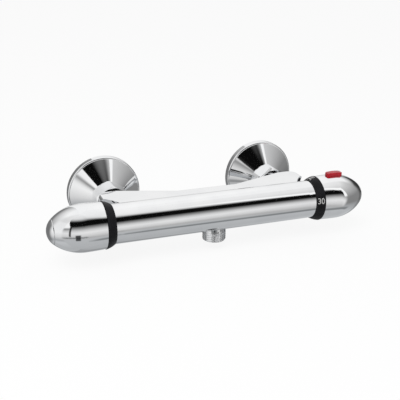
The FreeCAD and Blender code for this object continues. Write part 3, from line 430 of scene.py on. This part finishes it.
# name, the body it rides on, the joint that presses it, the way it is pressed, the middle of
# its fixed end, and the share of its length that is left at the joint's longer limit
SPRINGS = (
    ("check_valve_spring_left", "valve", "check_lift_left", (0, 1, 0),
     (-INLET_X, CHECK_SPRING_START, 0), 0.675),
    ("check_valve_spring_right", "valve", "check_lift_right", (0, 1, 0),
     (INLET_X, CHECK_SPRING_START, 0), 0.675),
    ("button_spring", "temperature_handle", "button_press", (0, 0, 1),
     (BUTTON_X, AXIS_Y, BUTTON_SPRING_START), 0.505),
    ("return_spring", "valve", "thermostat_travel", (1, 0, 0),
     (RETURN_SPRING_START, AXIS_Y, 0), 0.915),
)


def squashed_spring(name, body, joint, axis, anchor, keep):
    """A copy of a spring's mesh, put on the body it rides on in place of the spring part."""
    mesh = nodes[name].data.copy()
    mesh.transform(nodes[name].matrix_world)
    made = piece(f"{name}_coil", mesh, slot_of[name], body)
    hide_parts(name)
    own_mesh(made)


for spring in SPRINGS:
    squashed_spring(*spring)


# ---------------------------------------------------------------- camera

CAMERA_TURN = -21.24             # degrees about Z, from straight in front
CAMERA_RISE = 20.61
CAMERA_ROLL = 0.78
CAMERA_TARGET = (-4.46, -60.0, 2.33)            # millimetres
CAMERA_DISTANCE = 692.98 * MM
SENSOR_WIDTH = 36
LENS = 68.51


def set_camera():
    turn, rise, roll = (math.radians(a) for a in (CAMERA_TURN, CAMERA_RISE, CAMERA_ROLL))
    back = Vector((math.sin(turn) * math.cos(rise), -math.cos(turn) * math.cos(rise),
                   math.sin(rise)))
    right = (-back).cross(Vector((0, 0, 1))).normalized()
    up = right.cross(-back)
    right, up = (right * math.cos(roll) + up * math.sin(roll),
                 up * math.cos(roll) - right * math.sin(roll))
    data = bpy.data.cameras.new("camera")
    data.sensor_width = SENSOR_WIDTH
    data.lens = LENS
    data.clip_start = 0.01
    data.clip_end = 50
    made = bpy.data.objects.new("camera", data)
    bpy.context.scene.collection.objects.link(made)
    place = Matrix((right, up, back)).transposed().to_4x4()
    place.translation = Vector(CAMERA_TARGET) * MM + back * CAMERA_DISTANCE
    made.matrix_world = place
    bpy.context.scene.camera = made


set_camera()


# ---------------------------------------------------------------- floor and lamp

FLOOR_HALF = 6.0
FLOOR_GAP = 0.2 * MM             # between the floor and the lowest point of the solids
FLOOR_COLOUR = (0.93, 0.93, 0.93, 1.0)
FLOOR_GLOW = 0.88                # how much of the floor that the camera sees is plain white
WHITE = (1.0, 1.0, 1.0, 1.0)
LAMP_PLACE = (-0.5, -0.7, 1.1)
LAMP_AIM = (0, -0.06, 0)
LAMP_SIZE = 0.9
LAMP_POWER = 9.0


def build_floor():
    level = cad_low[2] - FLOOR_GAP
    half = FLOOR_HALF
    mesh = bpy.data.meshes.new("floor")
    mesh.from_pydata([(-half, -half, level), (half, -half, level), (half, half, level),
                      (-half, half, level)], [], [(0, 1, 2, 3)])
    floor = bpy.data.objects.new("floor", mesh)
    bpy.context.scene.collection.objects.link(floor)
    floor.visible_glossy = False
    paint = bpy.data.materials.new("pale floor")
    paint.use_nodes = True
    tree = Tree(paint.node_tree)
    matt = tree.add("ShaderNodeBsdfDiffuse", {"Color": FLOOR_COLOUR})
    glow = tree.add("ShaderNodeEmission", {"Color": WHITE, "Strength": 1.0})
    seen = tree.add("ShaderNodeLightPath").outputs["Is Camera Ray"]
    both = tree.add("ShaderNodeMixShader", {
        0: tree.product(seen, FLOOR_GLOW), 1: matt.outputs[0], 2: glow.outputs[0]})
    out = tree.add("ShaderNodeOutputMaterial")
    tree.set(out.inputs["Surface"], both.outputs[0])
    mesh.materials.append(paint)


def build_lamp():
    data = bpy.data.lights.new("soft_key", "AREA")
    data.size = LAMP_SIZE
    data.energy = LAMP_POWER
    lamp = bpy.data.objects.new("soft_key", data)
    lamp.location = LAMP_PLACE
    aim = Vector(LAMP_AIM) - Vector(LAMP_PLACE)
    lamp.rotation_mode = "QUATERNION"
    lamp.rotation_quaternion = aim.to_track_quat("-Z", "Y")
    bpy.context.scene.collection.objects.link(lamp)
    lamp.visible_glossy = False


# ---------------------------------------------------------------- studio

# Directions are a rise above the horizon and a turn, in degrees: a turn of 0 is in front of
# the valve, 90 is past its right end and -90 past its left. Each side of the studio is a list
# of (rise, display value).
FRONT_LOW = [(-80, 180), (-36, 188), (-24, 180), (-14, 212), (0, 232)]
FRONT_CARD = FRONT_LOW + [
    (10, 208), (20, 150), (29.5, 62), (31.5, 12), (51, 9), (55.5, 120), (61, 192), (68, 228),
    (88, 246)]
FRONT_CLEAR = FRONT_LOW + [(20, 240), (34, 250), (60, 246), (88, 238)]
LEFT = [
    (-80, 180), (-50, 197), (-38, 170), (-20, 216), (4, 244), (28, 240), (44, 238), (50, 224),
    (58, 222), (78, 238)]
REAR_LEFT = [
    (-80, 180), (-50, 184), (-38, 126), (0, 116), (16, 126), (30, 184), (46, 222), (64, 250)]
RIGHT = [
    (-80, 178), (-50, 190), (-34, 168), (-22, 132), (0, 134), (16, 166), (44, 204), (62, 236),
    (80, 248)]
REAR_RIGHT = [
    (-80, 172), (-44, 200), (-32, 140), (-20, 96), (-4, 66), (6, 52), (16, 62), (27, 196),
    (40, 248)]
REAR = [(-80, 165), (-54, 150), (-34, 210), (0, 205), (12, 238), (24, 246), (50, 252)]

# the turns over which a side takes over from the one before it, going left and going right
GOING_LEFT = (((-57, -50), LEFT), ((-122, -88), REAR_LEFT))
GOING_RIGHT = (((38, 50), RIGHT), ((92, 112), REAR_RIGHT), ((134, 146), REAR))

CARD_DROP = 12                   # how much lower the right end of the card is
CARD_DROP_TURNS = (22, 42)
CARD_FOOT = 31.0                 # the rise of the card's lower edge
CARD_FOOT_RISES = (20, 28)       # the room left of the card is only clear above these
CARD_LEFT_TURNS = (-38, -36)     # the card's left end, at its foot
CARD_LEAN = 0.6                  # how far left that end goes for each degree above the foot
COOL_BELOW = -25                 # rise below which the light is slightly blue
COOL = 0.95
EVEN_LIGHT = (0.62, 0.62, 0.62, 1.0)

# Patches over the sides: turns and rises (from, full, full, to), the strength and the colour.
STAND = ((-37, -35, -32, -30), (-22, -12, 30, 34), 0.92, (0.01, 0.01, 0.01))
TABLE_EDGE = ((-62, -44, 6, 18), (-29, -25, -23, -18), 0.75, (0.11, 0.12, 0.125))
TABLE_SHADE = ((14, 22, 60, 76), (-50, -45, -42, -34), 0.8, (0.16, 0.17, 0.175))
LIT_STRIP = ((38, 40, 46, 49), (2, 12, 56, 66), 1.0, (1.0, 1.0, 1.0))
POST = ((-22, -18, -9, -5), (-42, -36, -14, -8), 0.9, (0.012, 0.012, 0.013))


def stops(side):
    """Ramp stops of a side, with a slightly cool low end. The ramp runs from nadir to zenith."""
    made = []
    for rise, shade in side:
        level = linear(shade)
        cool = COOL if rise < COOL_BELOW else 1.0
        made.append(((rise + 90) / 180, (level * cool, level * (1 + cool) / 2, level)))
    return made


def studio_colour(tree):
    """Colour of the studio in each direction: a pale room with a black card high in front."""
    way = tree.add("ShaderNodeTexCoord").outputs["Generated"]
    x, y, z = tree.add("ShaderNodeSeparateXYZ", {0: way}).outputs
    degrees = 180 / math.pi
    rise = tree.product(tree.math("ARCSINE", z), degrees)
    turn = tree.product(tree.math("ARCTAN2", x, tree.product(y, -1.0)), degrees)

    def ramp_place(height):
        return tree.math("DIVIDE", tree.math("ADD", height, 90.0), 180.0)

    def band(value, start, full, last, end):
        return tree.product(tree.step(value, start, full), tree.step(value, last, end, 1, 0))

    plain = ramp_place(rise)
    drop = tree.step(turn, *CARD_DROP_TURNS, 0, CARD_DROP)
    lowered = ramp_place(tree.math("ADD", rise, drop))
    above_foot = tree.math("MAXIMUM", tree.math("SUBTRACT", rise, CARD_FOOT), 0.0)
    leaning = tree.math("ADD", turn, tree.product(above_foot, CARD_LEAN))
    beside_card = tree.product(
        tree.step(leaning, *CARD_LEFT_TURNS, 1, 0), tree.step(rise, *CARD_FOOT_RISES))
    shade = tree.mix(beside_card, tree.ramp(lowered, stops(FRONT_CARD)),
                     tree.ramp(lowered, stops(FRONT_CLEAR)))
    for turns, side in GOING_LEFT:
        shade = tree.mix(tree.step(turn, *turns, 1, 0), shade, tree.ramp(plain, stops(side)))
    for turns, side in GOING_RIGHT:
        shade = tree.mix(tree.step(turn, *turns), shade, tree.ramp(plain, stops(side)))
    for turns, rises, strength, colour in (STAND, TABLE_EDGE, TABLE_SHADE, LIT_STRIP, POST):
        spread = tree.product(band(turn, *turns), band(rise, *rises), strength)
        shade = tree.mix(spread, shade, colour)
    return shade


def build_world():
    """The camera sees white, glossy surfaces see the studio and matt ones see even light."""
    world = bpy.data.worlds.new("studio")
    world.use_nodes = True
    bpy.context.scene.world = world
    tree = Tree(world.node_tree)
    path = tree.add("ShaderNodeLightPath")
    studio, even, white = (
        tree.add("ShaderNodeBackground", {"Color": colour, "Strength": 1.0})
        for colour in (studio_colour(tree), EVEN_LIGHT, WHITE))
    lit = tree.add("ShaderNodeMixShader", {
        0: path.outputs["Is Glossy Ray"], 1: even.outputs[0], 2: studio.outputs[0]})
    seen = tree.add("ShaderNodeMixShader", {
        0: path.outputs["Is Camera Ray"], 1: lit.outputs[0], 2: white.outputs[0]})
    out = tree.add("ShaderNodeOutputWorld")
    tree.set(out.inputs["Surface"], seen.outputs[0])


build_floor()
build_world()
build_lamp()
bpy.context.scene.view_settings.view_transform = "Standard"
